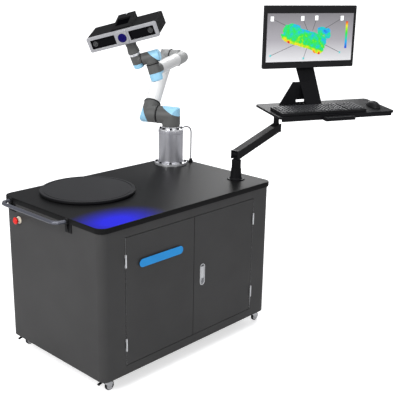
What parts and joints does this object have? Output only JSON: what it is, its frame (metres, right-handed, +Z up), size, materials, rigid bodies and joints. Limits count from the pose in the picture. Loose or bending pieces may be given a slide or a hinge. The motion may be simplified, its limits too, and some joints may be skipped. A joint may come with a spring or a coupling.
{
  "type": "three-d scanner",
  "caption": "Scanning workstation: steel cabinet on castors with a turntable, a jointed robot arm holding a scanning head, and a swing arm with keyboard tray and monitor.",
  "frame": {"origin": "middle of the whole box at floor level, measured without the free cord", "axes": "+X along the doors to the right, +Y from the doors to the back, +Z up"},
  "size_m": [2.2372, 1.2364, 1.7743],
  "materials": {
    "cabinet_paint": "satin powder coat",
    "table_board": "satin black laminate",
    "black_steel": "black powder coat",
    "handle_paint": "grey powder coat",
    "satin_aluminium": "satin",
    "satin_steel": "satin",
    "zinc": "zinc plated",
    "tread": "matte",
    "casting": "dark grey paint",
    "cap": "satin",
    "arm_tube": "silver lacquer",
    "scanner_case": "matte",
    "scanner_bezel": "silver lacquer",
    "lens": "glossy",
    "camera_glass": "glossy",
    "black_plastic": "matte",
    "tray_board": "matte",
    "stop_red": "satin",
    "stop_collar": "satin",
    "cord": "matte",
    "screen": "matte panel"
  },
  "bodies": {
    "cabinet": {"cabinet_carcass": "cabinet_paint", "base_frame": "black_steel", "table_top": "table_board", "push_handle": "handle_paint", "stop_housing": "stop_collar", "turntable_drive": "satin_aluminium", "power_inlet": "black_plastic", "robot_controller": "black_plastic", "workstation_computer": "black_plastic", "cable_gland": "black_plastic", "pedestal_column": "satin_aluminium", "robot_base": "satin_aluminium", "robot_cable": "cord", "monitor_post_base": "black_steel"},
    "left_door": {"left_door": "cabinet_paint"},
    "right_door": {"right_door": "cabinet_paint", "door_latch_housing": "satin_steel"},
    "latch_paddle": {"door_latch_paddle": "satin_steel"},
    "stop_button": {"stop_button": "stop_red"},
    "turntable": {"turntable_platter": "satin_aluminium"},
    "shoulder": {"shoulder_housing": "casting", "shoulder_cap": "cap"},
    "upper_arm": {"upper_arm_lower_housing": "casting", "upper_arm_lower_cap": "cap", "upper_arm_tube": "arm_tube", "upper_arm_elbow_housing": "casting", "upper_arm_elbow_cap": "cap"},
    "forearm": {"forearm_elbow_housing": "casting", "forearm_elbow_cap": "cap", "forearm_tube": "arm_tube", "wrist_1_housing": "casting", "wrist_1_cap": "cap"},
    "wrist_two": {"wrist_2_housing": "casting", "wrist_2_cap": "cap"},
    "wrist_three": {"wrist_3_housing": "casting", "wrist_3_cap": "cap"},
    "scan_head": {"tool_flange": "satin_aluminium", "scanner_adapter": "casting", "scanner_shell": "scanner_case", "scanner_bezel": "scanner_bezel", "projector_lens": "lens", "left_camera": "camera_glass", "right_camera": "camera_glass"},
    "post": {"monitor_post": "black_steel"},
    "arm": {"support_arm": "black_steel"},
    "knuckle": {"tray_knuckle": "black_steel"},
    "tray": {"keyboard_tray": "tray_board", "monitor_upright": "black_steel", "keyboard": "black_plastic", "mouse": "black_plastic"},
    "monitor": {"monitor_housing": "black_plastic", "screen_panel": "screen"},
    "front_left_fork": {"front_left_castor_fork": "zinc"},
    "front_left_wheel": {"front_left_castor_wheel": "tread"},
    "front_right_fork": {"front_right_castor_fork": "zinc"},
    "front_right_wheel": {"front_right_castor_wheel": "tread"},
    "back_left_fork": {"back_left_castor_fork": "zinc"},
    "back_left_wheel": {"back_left_castor_wheel": "tread"},
    "back_right_fork": {"back_right_castor_fork": "zinc"},
    "back_right_wheel": {"back_right_castor_wheel": "tread"}
  },
  "joints": [
    {"name": "left_door_hinge", "type": "hinge", "parent": "cabinet", "child": "left_door", "pos_m": [-0.89731, -0.368, 0], "axis": [0, 0, -1], "range_deg": [0, 110]},
    {"name": "right_door_hinge", "type": "hinge", "parent": "cabinet", "child": "right_door", "pos_m": [0.02169, -0.368, 0], "axis": [0, 0, 1], "range_deg": [0, 110]},
    {"name": "door_latch_lift", "type": "hinge", "parent": "right_door", "child": "latch_paddle", "pos_m": [-0.3748, -0.3595, 0.488], "axis": [-1, 0, 0], "range_deg": [0, 25], "stiffness_Nm_per_rad": 0.05},
    {"name": "stop_press", "type": "slide", "parent": "cabinet", "child": "stop_button", "axis": [1, 0, 0], "range_m": [0, 0.004], "stiffness_N_per_m": 1500, "springref_m": -0.001},
    {"name": "front_left_castor_swivel", "type": "hinge", "parent": "cabinet", "child": "front_left_fork", "pos_m": [-0.98781, -0.3135, 0], "axis": [0, 0, 1], "continuous": true},
    {"name": "front_left_castor_spin", "type": "hinge", "parent": "front_left_fork", "child": "front_left_wheel", "pos_m": [-0.96581, -0.3135, 0.025], "axis": [0, 1, 0], "continuous": true},
    {"name": "front_right_castor_swivel", "type": "hinge", "parent": "cabinet", "child": "front_right_fork", "pos_m": [0.1122, -0.3135, 0], "axis": [0, 0, 1], "continuous": true},
    {"name": "front_right_castor_spin", "type": "hinge", "parent": "front_right_fork", "child": "front_right_wheel", "pos_m": [0.1342, -0.3135, 0.025], "axis": [0, 1, 0], "continuous": true},
    {"name": "back_left_castor_swivel", "type": "hinge", "parent": "cabinet", "child": "back_left_fork", "pos_m": [-0.98781, 0.3525, 0], "axis": [0, 0, 1], "continuous": true},
    {"name": "back_left_castor_spin", "type": "hinge", "parent": "back_left_fork", "child": "back_left_wheel", "pos_m": [-0.96581, 0.3525, 0.025], "axis": [0, 1, 0], "continuous": true},
    {"name": "back_right_castor_swivel", "type": "hinge", "parent": "cabinet", "child": "back_right_fork", "pos_m": [0.1122, 0.3525, 0], "axis": [0, 0, 1], "continuous": true},
    {"name": "back_right_castor_spin", "type": "hinge", "parent": "back_right_fork", "child": "back_right_wheel", "pos_m": [0.1342, 0.3525, 0.025], "axis": [0, 1, 0], "continuous": true},
    {"name": "turntable_spin", "type": "hinge", "parent": "cabinet", "child": "turntable", "pos_m": [-0.70381, 0.1495, 0], "axis": [0, 0, 1], "continuous": true},
    {"name": "robot_base_turn", "type": "hinge", "parent": "cabinet", "child": "shoulder", "pos_m": [0.03719, 0.2945, 1.138], "axis": [0, 0, 1], "range_deg": [-75, 60]},
    {"name": "robot_shoulder_turn", "type": "hinge", "parent": "shoulder", "child": "upper_arm", "pos_m": [-0.01841, 0.42298, 1.138], "axis": [-0.3971, 0.9178, 0], "range_deg": [-30, 30]},
    {"name": "robot_elbow_turn", "type": "hinge", "parent": "upper_arm", "child": "forearm", "pos_m": [0.2569, 0.44983, 1.44307], "axis": [0.3971, -0.9178, 0], "range_deg": [-30, 22]},
    {"name": "robot_wrist_1_turn", "type": "hinge", "parent": "forearm", "child": "wrist_two", "pos_m": [-0.10537, 0.3159, 1.48424], "axis": [-0.1824, 0.2232, 0.9575], "range_deg": [-60, 60]},
    {"name": "robot_wrist_2_turn", "type": "hinge", "parent": "wrist_two", "child": "wrist_three", "pos_m": [-0.14788, 0.38117, 1.46093], "axis": [-0.5228, 0.8028, -0.2867], "range_deg": [-60, 60]},
    {"name": "robot_wrist_3_turn", "type": "hinge", "parent": "wrist_three", "child": "scan_head", "pos_m": [-0.1612, 0.38363, 1.49212], "axis": [-0.3917, 0.0725, 0.9172], "range_deg": [-60, 60]},
    {"name": "post_swivel", "type": "hinge", "parent": "cabinet", "child": "post", "pos_m": [0.05219, -0.2075, 0.9895], "axis": [0, 0, 1], "range_deg": [-60, 40]},
    {"name": "support_arm_lift", "type": "hinge", "parent": "post", "child": "arm", "pos_m": [0.05219, -0.2075, 0.9895], "axis": [0.0837, -0.9965, 0], "range_deg": [-15, 20]},
    {"name": "tray_levelling", "type": "hinge", "parent": "arm", "child": "knuckle", "pos_m": [0.43703, -0.17519, 1.0815], "axis": [0.0837, -0.9965, 0], "range_deg": [-20, 15]},
    {"name": "tray_swivel", "type": "hinge", "parent": "knuckle", "child": "tray", "pos_m": [0.43703, -0.17519, 1.1808], "axis": [0, 0, 1], "range_deg": [-45, 45]},
    {"name": "monitor_tilt", "type": "hinge", "parent": "tray", "child": "monitor", "pos_m": [0.68214, -0.17047, 1.5968], "axis": [0.9135, -0.4067, 0], "range_deg": [-15, 8]}
  ],
  "couplings": [
    {"joint": "tray_levelling", "follows": "support_arm_lift", "ratio": -1}
  ]
}
